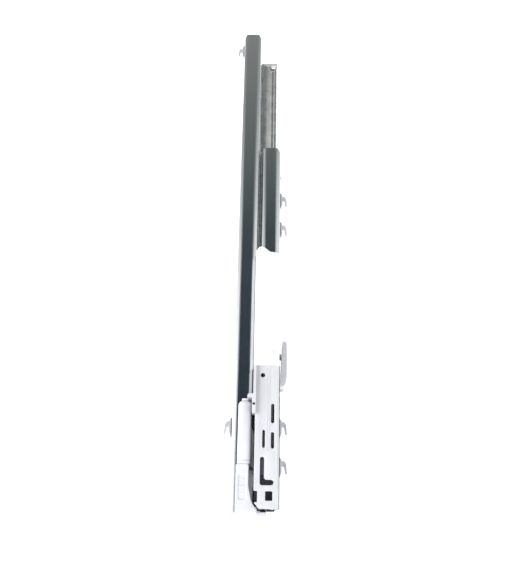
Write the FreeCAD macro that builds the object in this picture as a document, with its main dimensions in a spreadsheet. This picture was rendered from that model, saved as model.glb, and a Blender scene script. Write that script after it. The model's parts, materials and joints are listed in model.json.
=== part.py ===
"""A full-extension cabinet drawer slide with hook mounting and a soft self-closing unit, closed.

X runs across the slide: 0 is the face against the cabinet wall, slide_width the face against the drawer.
Y runs along it: the rear end is at -cabinet_length / 2 and the drawer opens towards +Y. Z is up.
The origin is on the cabinet member's mounting face, midway between its ends and its edges.
Inside every body Y is counted from the cabinet member's rear end; its Placement moves it to the frame.
"""

import os
import re

import FreeCAD
import Part
import Sketcher

Vector = FreeCAD.Vector

DIMENSIONS = [
    # whole slide
    ("cabinet_length", 355.6, "cabinet member, rear end to front end"),
    ("slide_width", 28.6, "cabinet face to drawer face"),
    ("slide_height", 46, "both outer members"),
    ("sheet", 1.5, "thickness of the rolled steel"),
    ("flange", 1.9, "thickness of a flange beside its ball groove"),
    ("bend", 1.6, "outer bend radius"),
    ("inner_bend", 2.1, "inner bend radius, which wraps round the balls"),
    ("crown_width", 3.3, "flange edge to where its top turns down"),
    ("crown_drop", 0.8, "how far the top falls towards its edge"),
    ("crown_r", 10, "radius where it turns down"),
    ("travel", 177.8, "of each of the two stages"),
    # members
    ("cabinet_depth", 13.3, "cabinet member, web to lip"),
    ("drawer_depth", 12.7, "drawer member, web to lip"),
    ("lip_end", 18.3, "height at which the lips end"),
    ("drawer_start", 2, "rear end of the drawer member"),
    ("drawer_end", 248.5, "front end of the drawer member"),
    ("middle_start", 3, "rear end of the middle member"),
    ("middle_end", 330, "front end of the middle member"),
    ("middle_reach", 25.6, "the middle member's edge towards the drawer"),
    ("middle_top", 16.5, "height of the middle member's flanges"),
    ("middle_flange", 2.1, "their thickness"),
    ("shoulder", 0.9, "rise of a middle flange towards its web"),
    ("shoulder_width", 5.1, "over which that rise falls away"),
    # balls and cages
    ("ball_r", 2.75, "steel ball"),
    ("groove_r", 2.85, "ball groove"),
    ("ball_inset", 6.2, "ball axis from an outer face"),
    ("ball_z", 18.7, "ball axis height"),
    ("ball_pitch", 12, "along a cage"),
    ("cage", 0.8, "cage sheet"),
    ("cage_gap", 0.35, "cage web to outer web"),
    ("cage_reach", 10.0, "cage edge from an outer face"),
    ("ball_play", 0.15, "room of a ball in its cage"),
    ("window_half", 12, "half the height of a cage window"),
    ("window_length", 18, "along the slide"),
    ("cabinet_cage_start", 94.5, "rear end"),
    ("cabinet_cage_length", 155, "rear end to front end"),
    ("drawer_cage_start", 93, "rear end"),
    ("drawer_cage_length", 142.5, "rear end to front end"),
    # hooks and holes
    ("hook_z", 17, "underside of a hook"),
    ("seat", 1.6, "height of the raised seat under a hook"),
    ("seat_slope", 2.6, "length of the seat's sloping ends"),
    ("seat_drop", 4.5, "how far the seat reaches below the hook"),
    ("seat_tall", 7, "height of the seat"),
    ("hook_gap", 1.5, "room for the sheet that the hook grips"),
    ("hook_length", 8, "root to tip"),
    ("hook_neck", 3.4, "width of its root"),
    ("hook_rear", 29, "root of the drawer member's rear hook"),
    ("hook_step", 23, "hook to hook in a pair"),
    ("pair_step", 158.5, "pair to pair"),
    ("front_hook", 345, "root of the cabinet member's front hook"),
    ("dimple_rear", 67.5, "rear dimple of the drawer member"),
    ("dimple_step", 167, "dimple to dimple"),
    ("dimple_r", 4.2, "radius of a dimple"),
    ("dimple_rise", 2.2, "how far it stands off the web"),
    ("screw_r", 2.25, "screw hole"),
    ("access_r", 4.5, "hole that lets a screwdriver through"),
    ("cabinet_screw_span", 280, "hole to hole"),
    ("drawer_screw_rear", 14, "rear screw hole of the drawer member"),
    ("drawer_screw_span", 136, "hole to hole"),
    ("access_shift", 50, "how far the middle member is out when its hole meets the cabinet's"),
    ("tab_half", 6, "half the height of a stop tab"),
    ("stop_reach", 4.5, "how far a stop tab reaches in from the outer face"),
    ("clip", 5, "length of the cut front corners"),
    ("locating_y", 5, "pin that locks the rear block"),
    ("locating_r", 1.5, "its radius"),
    ("head", 0.7, "rivet head"),
    ("middle_rivet_r", 2, "rivets of the middle member"),
    ("push_tab", 3.7, "height of the tabs that push the cabinet cage back"),
    ("bumper_top", 18.2, "height of the middle member's front bumper"),
    ("bumper_thick", 3, "along the slide"),
    ("grip_x", 21.2, "the bumper's grip tabs"),
    ("grip_width", 2.4, "across the slide"),
    ("grip_length", 2.6, "over the middle member"),
    ("rivet_r", 0.9, "rivets of the closing unit"),
    # closing unit on the drawer member
    ("unit_base", 23, "top of the flanges"),
    ("floor", 1.2, "tray floor"),
    ("cover_under", 29.8, "underside of the covers"),
    ("unit_top", 31, "top of the covers"),
    ("unit_left", 14.2, "side towards the cabinet"),
    ("unit_rear", 1.5, "rear end"),
    ("unit_split", 84, "where one cover meets the other"),
    ("unit_front", 160, "front end of the tray"),
    ("tray_wall", 1.2, "thickness of its side walls"),
    ("narrow_edge", 27.3, "its drawer-side face in front of the split"),
    ("striker_left", 9.2, "edge of the striker's arm"),
    ("striker_bend", 11.9, "where the arm leaves its root"),
    ("striker_rear", 54.5, "rear end of the root"),
    ("striker_front", 65.8, "front face of the arm"),
    ("striker_arm", 2, "thickness of the arm"),
    ("striker_rib", 12.6, "face of the rib that runs on from it along the tray"),
    ("corner", 2.8, "cut off the closing unit's rear corner"),
    ("neck_x", 16, "inner edge of the notch beside the post"),
    ("neck_front", 11, "its front end"),
    ("rib_half", 0.45, "half the width of a cover rib"),
    ("rib_rise", 0.35, "its height"),
    ("slot_x", 24.4, "line of the two spring slots"),
    ("slot_r", 0.95, "half their width"),
    ("small_slot_x", 19.2, "third slot"),
    ("small_slot_r", 0.8, "half its width"),
    ("cap_left", 12.8, "spring cover, cabinet side"),
    ("cap_right", 28.2, "spring cover, drawer side"),
    ("cap_wall", 0.8, "its side walls"),
    ("mark_depth", 0.4, "marks pressed in its top"),
    ("track_x", 18.5, "long leg of the track"),
    ("track_front", 28.6, "pin in the closed slide"),
    ("track_rear", 15.6, "pin in the cocked unit"),
    ("track_r", 1.2, "half the width of the long leg"),
    ("short_leg", 5.2, "length of the short leg"),
    ("short_leg_r", 1.5, "half its width"),
    ("track_pin_r", 1.1, "pin that runs in the track"),
    ("trigger_rear", 20, "rear end"),
    ("trigger_front", 33, "front end"),
    ("trigger_left", 16, "side towards the cabinet"),
    ("trigger_right", 26.6, "side towards the drawer"),
    ("trigger_arm_x", 12.7, "tip of the arm that the post meets"),
    ("trigger_base", 24.4, "underside"),
    ("arm_base", 25, "underside of the arm"),
    ("spring_r", 2.0, "tension springs"),
    ("spring_wire", 0.6, "their wire"),
    ("spring_gap", 0.2, "between spring and trigger"),
    ("left_spring_x", 19.0, "axis"),
    ("right_spring_x", 24.0, "axis"),
    ("spring_z", 27, "height of both axes"),
    ("anchor_y", 149.2, "bar that the springs hang on"),
    # damper and rear block on the cabinet member
    ("plate", 1.0, "catch bracket"),
    ("bracket_left", 5, "its edge under the damper"),
    ("bracket_right", 13.3, "its edge beside the closing unit"),
    ("bracket_neck", 11.2, "its edge in front of the post"),
    ("bracket_front", 62, "its front end"),
    ("damper_x", 7.85, "axis"),
    ("damper_z", 27.7, "height of the axis"),
    ("damper_r", 3.55, "outer radius of the tube"),
    ("damper_wall", 0.95, "wall of the tube"),
    ("damper_rear", 26, "rear end of the tube"),
    ("damper_front", 59.7, "where its cap begins"),
    ("cap_length", 2.8, "rounded cap"),
    ("rod_r", 1.0, "damper rod"),
    ("rod_rear", 34, "rear end of the rod"),
    ("tip_length", 0.9, "plastic tip of the rod"),
    ("post_x", 12.3, "post that holds the trigger"),
    ("post_y", 23.5, "post that holds the trigger"),
    ("post_r", 1.2, "its radius"),
    ("end_plate", 3.2, "plate over the slide's rear end"),
    ("plate_right", 21.3, "its edge towards the drawer"),
    ("plate_top", 25.4, "its top edge"),
    ("block_left", 3.4, "rear block, cabinet side"),
    ("block_right", 10.9, "rear block beside the damper"),
    ("block_top", 28.4, "top of the rear block"),
    ("pad_width", 3, "rubber pads behind the members"),
    ("pad_tall", 20, "their height"),
    # latch on the drawer member's face
    ("latch_x", 31.2, "pivot axis"),
    ("latch_y", 79.5, "pivot axis"),
    ("latch_half", 8, "half its height"),
    ("knuckle_r", 1.9, "round end that the pin goes through"),
    ("pin_r", 1.0, "latch pin"),
    ("latch_tip_x", 33.9, "face that a thumb presses"),
    ("latch_tip_y", 106.9, "front end of the lever"),
    ("latch_inner", 30.2, "the lever's face towards the drawer member"),
    ("ear", 1, "thickness of the bracket's ears"),
    ("ear_gap", 0.2, "ear to lever"),
    ("foot", 0.5, "thickness of the bracket's foot"),
    ("latch_spring_y", 98, "axis of the latch spring"),
    ("latch_spring_r", 2.2, "its radius"),
    ("latch_spring_height", 1.9, "off the drawer member's face"),
]

doc = FreeCAD.newDocument("drawer_slide")
sizes = doc.addObject("Spreadsheet::Sheet", "sizes")
for row, (alias, value, meaning) in enumerate(DIMENSIONS, start=1):
    sizes.set(f"A{row}", alias)
    sizes.set(f"B{row}", str(value))
    sizes.set(f"C{row}", meaning)
    sizes.setAlias(f"B{row}", alias)
doc.recompute()

ALIASES = {alias for alias, _, _ in DIMENSIONS}
MIDDLE_RIVETS = [f"40 + 90 * {i}" for i in range(4)]
TRAY_RIVETS = [("19", "4.5"), ("19", "155")]
PARTS = []


# ---------------------------------------------------------------- helpers


def linked(text):
    """An expression that reads the sheet, from one that names its aliases."""

    def qualify(word):
        name = word.group()
        return f"sizes.{name}" if name in ALIASES else name

    return re.sub(r"[a-z_]+", qualify, str(text))


def number(text):
    """The present value of an expression."""
    return float(sizes.evalExpression(linked(text)))


def keep(piece, label):
    """Makes piece a sub-part of the slide: it gets its name and its file."""
    piece.Label = label
    PARTS.append(piece)
    return piece


def new_body(label):
    body = doc.addObject("PartDesign::Body", label)
    body.setExpression("Placement.Base.y", linked("-cabinet_length / 2"))
    return keep(body, label)


def pin_point(sketch, index, end, x, y):
    """Ties one point of a sketch to two expressions."""
    for kind, text in (("DistanceX", x), ("DistanceY", y)):
        at = sketch.addConstraint(Sketcher.Constraint(kind, index, end, number(text)))
        sketch.setExpression(f"Constraints[{at}]", linked(text))


def pin_radius(sketch, index, text):
    at = sketch.addConstraint(Sketcher.Constraint("Radius", index, number(text)))
    sketch.setExpression(f"Constraints[{at}]", linked(text))


def draw_polygon(sketch, points):
    first = sketch.GeometryCount
    count = len(points)
    spots = [Vector(number(x), number(y), 0) for x, y in points]
    for i in range(count):
        sketch.addGeometry(Part.LineSegment(spots[i], spots[(i + 1) % count]), False)
    for i in range(count):
        sketch.addConstraint(Sketcher.Constraint("Coincident", first + i, 2, first + (i + 1) % count, 1))
    for i, (x, y) in enumerate(points):
        pin_point(sketch, first + i, 1, x, y)


def draw_circle(sketch, x, y, radius):
    index = sketch.GeometryCount
    sketch.addGeometry(Part.Circle(Vector(number(x), number(y), 0), Vector(0, 0, 1), number(radius)), False)
    pin_point(sketch, index, 3, x, y)
    pin_radius(sketch, index, radius)


def box_of(x0, y0, x1, y1):
    return [(x0, y0), (x1, y0), (x1, y1), (x0, y1)]


def slot_of(x0, y0, x1, y1, radius):
    """A straight slot between two end centres, as a closed loop of shapes to draw one by one."""
    if x0 == x1:
        sides = box_of(f"{x0} - ({radius})", y0, f"{x0} + ({radius})", y1)
    else:
        sides = box_of(x0, f"{y0} - ({radius})", x1, f"{y0} + ({radius})")
    return [[sides], [(x0, y0, radius)], [(x1, y1, radius)]]


def feature(kind, body, plane, shapes, start, length):
    """A Pad or Pocket from start over length, both counted along the plane's own positive axis."""
    sketch = body.newObject("Sketcher::SketchObject", "outline")
    origin_plane = [o for o in body.Origin.OriginFeatures if o.Role == plane][0]
    sketch.AttachmentSupport = [(origin_plane, "")]
    sketch.MapMode = "FlatFace"
    backward = plane == "XZ_Plane"  # this plane's normal is -Y
    sketch.setExpression("AttachmentOffset.Base.z", linked(f"-({start})" if backward else start))
    for shape in shapes:
        if len(shape) == 3 and not isinstance(shape[0], tuple):
            draw_circle(sketch, *shape)
        else:
            draw_polygon(sketch, shape)
    made = body.newObject(f"PartDesign::{kind}", kind.lower())
    made.Profile = sketch
    made.Reversed = backward if kind == "Pad" else not backward
    made.setExpression("Length", linked(length))
    doc.recompute()
    return made


def pad(body, plane, shapes, start, length):
    return feature("Pad", body, plane, shapes, start, length)


def pocket(body, plane, shapes, start, length):
    """Cuts, and stops the build if nothing was cut."""
    before = body.Shape.Volume
    made = feature("Pocket", body, plane, shapes, start, length)
    if body.Shape.Volume > before - 1e-6:
        raise RuntimeError(f"a pocket in {body.Label} cut nothing")
    return made


def pocket_slot(body, slot, start, length):
    for shapes in slot:
        pocket(body, "XY_Plane", shapes, start, length)


def round_edges(body, radius, chosen, kind="Fillet"):
    """Fillets or chamfers the edges for which chosen(edge) is true."""
    tip = body.Tip
    names = [f"Edge{i}" for i, edge in enumerate(tip.Shape.Edges, start=1) if chosen(edge)]
    if not names:
        raise RuntimeError(f"no edge to round in {body.Label}")
    made = body.newObject(f"PartDesign::{kind}", kind.lower())
    made.Base = (tip, names)
    made.setExpression("Radius" if kind == "Fillet" else "Size", linked(radius))
    doc.recompute()
    return made


def runs_along(edge, axis):
    ends = [v.Point for v in edge.Vertexes]
    if len(ends) != 2:
        return False
    step = ends[1] - ends[0]
    return step.Length > 1e-6 and abs(abs(step.normalize()[axis]) - 1) < 1e-6


def corner(edge, axis, a, b):
    """True if edge runs along axis and passes through (a, b) in the other two axes."""
    if not runs_along(edge, axis):
        return False
    others = [edge.Vertexes[0].Point[i] for i in range(3) if i != axis]
    return abs(others[0] - number(a)) < 1e-3 and abs(others[1] - number(b)) < 1e-3


def corners(axis, spots):
    return lambda edge: any(corner(edge, axis, a, b) for a, b in spots)


def lies_at(axis, level):
    """Chooses the edges that lie wholly at one level of an axis."""
    at = number(level)

    def chosen(edge):
        box = edge.BoundBox
        low = (box.XMin, box.YMin, box.ZMin)[axis]
        high = (box.XMax, box.YMax, box.ZMax)[axis]
        return abs(low - at) < 1e-3 and abs(high - at) < 1e-3

    return chosen


def mirrored(spots):
    """The same spots above and below the slide's middle height."""
    return [(a, z) for a, b in spots for z in (b, f"-({b})")]


def cylinder(name, radius, height, x, y, z, direction):
    """A Part::Cylinder along X, Y or Z from (x, y, z), y counted from the rear end."""
    piece = doc.addObject("Part::Cylinder", name)
    piece.setExpression("Radius", linked(radius))
    piece.setExpression("Height", linked(height))
    turns = {
        "X": FreeCAD.Rotation(Vector(0, 1, 0), 90),
        "Y": FreeCAD.Rotation(Vector(1, 0, 0), -90),
        "Z": FreeCAD.Rotation(),
    }
    piece.Placement = FreeCAD.Placement(Vector(), turns[direction])
    piece.setExpression("Placement.Base.x", linked(x))
    piece.setExpression("Placement.Base.y", linked(f"({y}) - cabinet_length / 2"))
    piece.setExpression("Placement.Base.z", linked(z))
    return piece


def fused(name, pieces):
    whole = doc.addObject("Part::MultiFuse", name)
    whole.Shapes = pieces
    return whole


def cut(name, base, tool):
    left = doc.addObject("Part::Cut", name)
    left.Base = base
    left.Tool = tool
    return left


def group(label, pieces):
    """Identical pieces as one node of separate solids."""
    whole = doc.addObject("Part::Compound", label)
    whole.Links = pieces
    return keep(whole, label)


# ---------------------------------------------------------------- rolled members


def channel_outline(face, inward, depth):
    """Section of an outer member: web at face, flanges and lips running inward (1 or -1 along X)."""

    def x(distance):
        return f"{face} + {inward} * ({distance})"

    edge = "slide_height / 2 - crown_drop"
    upper = [
        (x("0"), edge),
        (x("crown_width"), "slide_height / 2"),
        (x(f"{depth} - crown_width"), "slide_height / 2"),
        (x(depth), edge),
        (x(depth), "lip_end"),
        (x(f"{depth} - sheet"), "lip_end"),
        (x(f"{depth} - sheet"), "slide_height / 2 - flange"),
        (x("sheet"), "slide_height / 2 - flange"),
    ]
    return upper + [(a, f"-({b})") for a, b in reversed(upper)]


def ball_grooves(body, axis_x, start, length):
    circles = [(axis_x, "ball_z", "groove_r"), (axis_x, "-ball_z", "groove_r")]
    pocket(body, "XZ_Plane", circles, start, length)


def bend_channel(body, face, inward, depth):
    def x(distance):
        return f"{face} + {inward} * ({distance})"

    edge = "slide_height / 2 - crown_drop"
    outside = mirrored([(x("0"), edge), (x(depth), edge)])
    top = "slide_height / 2"
    crown = mirrored([(x("crown_width"), top), (x(f"{depth} - crown_width"), top)])
    under_flange = "slide_height / 2 - flange"
    inside = mirrored([(x("sheet"), under_flange), (x(f"{depth} - sheet"), under_flange)])
    round_edges(body, "bend", corners(1, outside))
    round_edges(body, "crown_r", corners(1, crown))
    round_edges(body, "inner_bend", corners(1, inside))
    ends = mirrored([(x(depth), "lip_end"), (x(f"{depth} - sheet"), "lip_end")])
    round_edges(body, "sheet / 4", corners(1, ends))


def add_hooks(body, face, outward, roots):
    """Lanced hooks: each stands on a raised seat of the web, and its finger points to the rear."""

    def x(distance):
        return f"{face} + {outward} * ({distance})"

    seat_low = "hook_z - seat_drop"
    for root in roots:
        tip = f"{root} - hook_length"
        seat = [
            (x("-sheet / 2"), f"{root} + seat_slope"),
            (x("0"), f"{root} + seat_slope"),
            (x("seat"), f"{root} + 0.5"),
            (x("seat"), f"{tip} + 1"),
            (x("0"), f"{tip} - seat_slope"),
            (x("-sheet / 2"), f"{tip} - seat_slope"),
        ]
        hook = [
            (x("0"), root),
            (x("seat + hook_gap"), root),
            (x("seat + hook_gap + sheet - 0.3"), f"{root} - 1.5"),
            (x("seat + hook_gap + sheet + 0.3"), f"{tip} + 0.6"),
            (x("seat + hook_gap + 0.9"), tip),
            (x("seat + hook_gap"), f"{root} - hook_neck"),
            (x("0"), f"{root} - hook_neck"),
        ]
        window = box_of(tip, f"{seat_low} + 0.8", f"{root} - hook_neck - 0.4", "hook_z + sheet / 2")
        pad(body, "XY_Plane", [seat], seat_low, "seat_tall")
        pad(body, "XY_Plane", [hook], "hook_z", "sheet")
        pocket(body, "YZ_Plane", [window], x("seat") if outward < 0 else x("-sheet"), "sheet + seat")


def add_stop(body, x0, x1, y):
    """Tab lanced out of a web, which a ball cage meets at the end of its travel."""
    pad(body, "XY_Plane", [box_of(x0, y, x1, f"{y} + sheet")], "-tab_half", "2 * tab_half")


def clip_front(body, x, inward, y):
    """Cuts the corner that a member's front end has at x."""
    corner_cut = [
        (f"{x} - {inward} * 0.5", f"{y} - clip"),
        (f"{x} + {inward} * 2", f"{y} + 0.5"),
        (f"{x} - {inward} * 0.5", f"{y} + 0.5"),
    ]
    pocket(body, "XY_Plane", [corner_cut], "-slide_height / 2 - 1", "slide_height + 2")


def build_cabinet_member():
    body = new_body("cabinet_member")
    pad(body, "XZ_Plane", [channel_outline("0", 1, "cabinet_depth")], "0", "cabinet_length")
    bend_channel(body, "0", 1, "cabinet_depth")
    ball_grooves(body, "ball_inset", "0", "cabinet_length")
    add_hooks(body, "0", -1, ["hook_rear + hook_step", "front_hook"])
    middle = "cabinet_length / 2"
    screws = [(f"{middle} + {side} * cabinet_screw_span / 2", "0", "screw_r") for side in (-1, 1)]
    pocket(body, "YZ_Plane", screws, "0", "sheet")
    pocket(body, "YZ_Plane", [("locating_y", "0", "locating_r")], "0", "sheet")
    stop = "cabinet_cage_start + cabinet_cage_length + travel / 2 + 0.5"
    add_stop(body, "sheet / 2", "stop_reach", stop)
    clip_front(body, "0", 1, "cabinet_length")
    clip_front(body, "cabinet_depth", -1, "cabinet_length")


def build_drawer_member():
    body = new_body("drawer_member")
    length = "drawer_end - drawer_start"
    pad(body, "XZ_Plane", [channel_outline("slide_width", -1, "drawer_depth")], "drawer_start", length)
    bend_channel(body, "slide_width", -1, "drawer_depth")
    ball_grooves(body, "slide_width - ball_inset", "drawer_start", length)
    roots = ["hook_rear", "hook_rear + hook_step"]
    roots += [f"{root} + pair_step" for root in roots]
    add_hooks(body, "slide_width", 1, roots)
    holes = [(f"drawer_screw_rear + {i} * drawer_screw_span", "0", "screw_r") for i in (0, 1)]
    holes.append(("cabinet_length / 2 + cabinet_screw_span / 2 - 2 * access_shift", "0", "access_r"))
    pocket(body, "YZ_Plane", holes, "slide_width - sheet", "sheet")
    # two round dimples that seat the drawer side
    for y in ("dimple_rear", "dimple_rear + dimple_step"):
        pad(body, "YZ_Plane", [(y, "0", "dimple_r")], "slide_width - sheet / 2", "sheet / 2 + dimple_rise")
        round_edges(body, "dimple_rise - 0.4", lies_at(0, "slide_width + dimple_rise"))
    add_stop(body, "slide_width - stop_reach", "slide_width - sheet / 2", "drawer_start + 0.5")
    rivet_holes = [(x, y, "rivet_r") for x, y in TRAY_RIVETS]
    pocket(body, "XY_Plane", rivet_holes, "unit_base - flange - 1", "flange + 2")
    clip_front(body, "slide_width", -1, "drawer_end")


def rail_outline(web, inward, reach):
    """Section of one half of the middle member: a channel that stands back to back with its twin."""

    def x(distance):
        return f"{web} + {inward} * ({distance})"

    steps = 7
    crown = [(x("0"), "middle_top + shoulder")]
    for i in range(steps + 1):
        share = i / steps
        crown.append((x(f"1.2 + shoulder_width * {share}"), f"middle_top + shoulder * {1 - share**2}"))
    upper = crown + [
        (x(reach), "middle_top"),
        (x(reach), "middle_top - middle_flange"),
        (x("sheet"), "middle_top - middle_flange"),
    ]
    return upper + [(a, f"-({b})") for a, b in reversed(upper)]


def build_rail(label, inward, reach, groove_x):
    web = "slide_width / 2"
    body = new_body(label)
    length = "middle_end - middle_start"
    pad(body, "XZ_Plane", [rail_outline(web, inward, reach)], "middle_start", length)
    round_edges(body, "0.8", corners(1, mirrored([(web, "middle_top + shoulder")])))
    edge = f"{web} + {inward} * ({reach})"
    tips = mirrored([(edge, "middle_top"), (edge, "middle_top - middle_flange")])
    round_edges(body, "middle_flange / 3", corners(1, tips))
    ball_grooves(body, groove_x, "middle_start", length)
    start = web if inward > 0 else f"{web} - sheet"
    holes = [(y, "0", "middle_rivet_r") for y in MIDDLE_RIVETS]
    holes.append(("cabinet_length / 2 + cabinet_screw_span / 2 - access_shift", "0", "access_r"))
    pocket(body, "YZ_Plane", holes, start, "sheet")
    return body


def build_middle():
    left = build_rail("middle_cabinet_rail", -1, "slide_width / 2 - 3", "ball_inset")
    # tabs that push the cabinet member's cage back to its place
    tab = box_of("4.5", "middle_start", "8", "middle_start + 2")
    for base in ("middle_top - 0.6", "-middle_top + 0.6 - push_tab"):
        pad(left, "XY_Plane", [tab], base, "push_tab")
    build_rail("middle_drawer_rail", 1, "middle_reach - slide_width / 2", "slide_width - ball_inset")
    rivets = []
    for y in MIDDLE_RIVETS:
        shank = cylinder("shank", "middle_rivet_r", "2 * sheet", "slide_width / 2 - sheet", y, "0", "X")
        pieces = [shank]
        for x in ("slide_width / 2 - sheet - head", "slide_width / 2 + sheet"):
            pieces.append(cylinder("head", "middle_rivet_r + 1.2", "head", x, y, "0", "X"))
        rivets.append(fused("rivet", pieces))
    group("middle_rivets", rivets)
    bumper = new_body("middle_front_bumper")
    face = [
        ("13.7", "17.4"),
        ("18.6", "17.4"),
        ("19.4", "bumper_top"),
        ("middle_reach + 0.2", "bumper_top"),
    ]
    outline = face + [(a, f"-({b})") for a, b in reversed(face)]
    pad(bumper, "XZ_Plane", [outline], "middle_end", "bumper_thick")
    grip = box_of("grip_x", "middle_end - grip_length", "grip_x + grip_width", "middle_end + 1")
    for base in ("middle_top", "-bumper_top"):
        pad(bumper, "XY_Plane", [grip], base, "bumper_top - middle_top")


# ---------------------------------------------------------------- balls and cages


def build_cage(side, face, inward, start, length, per_row):
    body = new_body(f"{side}_ball_cage")

    def x(distance):
        return f"{face} + {inward} * ({distance})"

    upper = [
        (x("sheet + cage_gap"), "ball_z + cage / 2"),
        (x("cage_reach"), "ball_z + cage / 2"),
        (x("cage_reach"), "ball_z - cage / 2"),
        (x("sheet + cage_gap + cage"), "ball_z - cage / 2"),
    ]
    outline = upper + [(a, f"-({b})") for a, b in reversed(upper)]
    pad(body, "XZ_Plane", [outline], start, length)
    first = f"{start} + ({length} - {per_row - 1} * ball_pitch) / 2"
    seats = [(x("ball_inset"), f"{first} + {i} * ball_pitch", "ball_r + ball_play") for i in range(per_row)]
    pocket(body, "XY_Plane", seats, "-slide_height / 2", "slide_height")
    windows = []
    for i in range(per_row // 2):
        rear = f"{first} + 3 + {i} * 2 * ball_pitch"
        windows.append(box_of(rear, "-window_half", f"{rear} + window_length", "window_half"))
    web_middle = f"{face} + {inward} * (sheet + cage_gap + cage / 2)"
    pocket(body, "YZ_Plane", windows, f"{web_middle} - cage", "2 * cage")
    balls = []
    for i in range(per_row):
        for row in (1, -1):
            ball = doc.addObject("Part::Sphere", "ball")
            ball.setExpression("Radius", linked("ball_r"))
            ball.setExpression("Placement.Base.x", linked(x("ball_inset")))
            ball.setExpression("Placement.Base.y", linked(f"{first} + {i} * ball_pitch - cabinet_length / 2"))
            ball.setExpression("Placement.Base.z", linked(f"{row} * ball_z"))
            balls.append(ball)
    group(f"{side}_balls", balls)


# ---------------------------------------------------------------- closing unit


def build_tray():
    body = new_body("closer_tray")
    depth = "cover_under - unit_base"
    pad(body, "XY_Plane", [box_of("unit_left", "unit_rear", "slide_width", "unit_split")], "unit_base", depth)
    narrow = box_of("unit_left + 0.1", "unit_split - 1", "narrow_edge", "unit_front")
    pad(body, "XY_Plane", [narrow], "unit_base", depth)
    room = "cover_under - unit_base - floor"
    left = "unit_left + tray_wall"
    for hollow in (
        box_of(left, "unit_rear + 1.5", "slide_width - 1.4", "unit_split - 1"),
        box_of(left, "unit_split - 2", "narrow_edge - 0.9", "unit_front - 2"),
    ):
        pocket(body, "XY_Plane", [hollow], "unit_base + floor", room)
    rear_corner = [
        ("unit_left - 1", "unit_rear - 1"),
        ("unit_left + corner", "unit_rear - 1"),
        ("unit_left + corner", "unit_rear"),
        ("unit_left", "unit_rear + 1.25 * corner"),
        ("unit_left - 1", "unit_rear + 1.25 * corner"),
    ]
    pocket(body, "XY_Plane", [rear_corner], "unit_base - 1", "cover_under - unit_base + 2")
    # the trigger's arm reaches out through this side
    way_out = box_of("unit_left - 1", "5", "unit_left + tray_wall + 0.1", "post_y")
    pocket(body, "XY_Plane", [way_out], "unit_base + floor", room)
    pocket(body, "XY_Plane", [(x, y, "rivet_r") for x, y in TRAY_RIVETS], "unit_base - 1", "floor + 2")
    rivets = []
    for x, y in TRAY_RIVETS:
        shank = cylinder("shank", "rivet_r", "floor + flange", x, y, "unit_base - flange", "Z")
        rivet_head = cylinder("head", "rivet_r + 0.4", "0.5", x, y, "unit_base + floor", "Z")
        rivets.append(fused("rivet", [shank, rivet_head]))
    group("tray_rivets", rivets)


def build_striker():
    """The arm on the tray's side that pushes the damper's rod in, with the rib it grows from."""
    body = new_body("damper_striker")
    plan = [
        ("striker_bend", "striker_rear"),
        ("unit_left", "striker_rear"),
        ("unit_left", "unit_split - 0.2"),
        ("striker_rib", "unit_split - 0.2"),
        ("striker_rib", "striker_front"),
        ("striker_left", "striker_front"),
        ("striker_left", "striker_front - striker_arm"),
        ("striker_bend", "striker_front - striker_arm"),
    ]
    bottom = "unit_base + 1.6"
    pad(body, "XY_Plane", [plan], bottom, f"unit_top - {bottom}")
    pocket(body, "XY_Plane", [("13.1", "59.9", "0.8")], bottom, "unit_top")
    outer = [("striker_left", "striker_front"), ("striker_bend", "striker_rear")]
    round_edges(body, "1.2", corners(2, outer))


def build_covers():
    cover = new_body("mechanism_cover")
    outline = [
        ("unit_left", "neck_front"),
        ("unit_left", "unit_split"),
        ("slide_width", "unit_split"),
        ("slide_width", "unit_rear"),
        ("unit_left + corner", "unit_rear"),
        ("unit_left", "unit_rear + 1.25 * corner"),
        ("neck_x", "unit_rear + 1.25 * corner"),
        ("neck_x", "neck_front"),
    ]
    thick = "unit_top - cover_under"
    pad(cover, "XY_Plane", [outline], "cover_under", thick)
    # two low ribs run beside the spring slots
    for x in ("21.5", "26.9"):
        rib = box_of(f"{x} - rib_half", "32", f"{x} + rib_half", "unit_split - 3")
        pad(cover, "XY_Plane", [rib], "cover_under", f"{thick} + rib_rise")
    through = ("cover_under - 1", "unit_top - cover_under + 3")
    for slot in (
        slot_of("slot_x", "50", "slot_x", "59.6", "slot_r"),
        slot_of("slot_x", "35.4", "slot_x", "43", "slot_r"),
        slot_of("small_slot_x", "35.6", "small_slot_x", "44.4", "small_slot_r"),
        slot_of("track_x", "track_rear", "track_x", "track_front", "track_r"),
        slot_of("track_x", "track_rear", "track_x + short_leg", "track_rear", "short_leg_r"),
    ):
        pocket_slot(cover, slot, *through)
    pocket(cover, "XY_Plane", [("18.3", "77.9", "1.35")], *through)
    pocket(cover, "XY_Plane", [box_of("20.5", "5.8", "24.6", "10.9")], *through)
    round_edges(cover, "1", corners(2, [("slide_width", "unit_rear")]))

    spring_cover = new_body("spring_cover")
    nose = [
        ("cap_left", "unit_split"),
        ("cap_left", "161.6"),
        ("14.6", "164.4"),
        ("16.3", "165.2"),
        ("18.2", "164.3"),
        ("21.7", "161.3"),
        ("26.6", "160.6"),
        ("cap_right", "160"),
        ("cap_right", "unit_split"),
    ]
    pad(spring_cover, "XY_Plane", [nose], "unit_base + 0.2", "unit_top - unit_base - 0.2")
    inside = box_of("unit_left", "unit_split - 1", "cap_right - cap_wall", "unit_front + 0.1")
    pocket(spring_cover, "XY_Plane", [inside], "unit_base", "cover_under - unit_base")
    arrow = [("23.4", "102.6"), ("24.8", "102.6"), ("24.1", "104.6")]
    bar = box_of("23.9", "91.2", "25.2", "93.8")
    for mark in (arrow, bar):
        pocket(spring_cover, "XY_Plane", [mark], "unit_top - mark_depth", "1")
    round_edges(spring_cover, "0.9", corners(1, [("cap_left", "unit_top"), ("cap_right", "unit_top")]))


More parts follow.
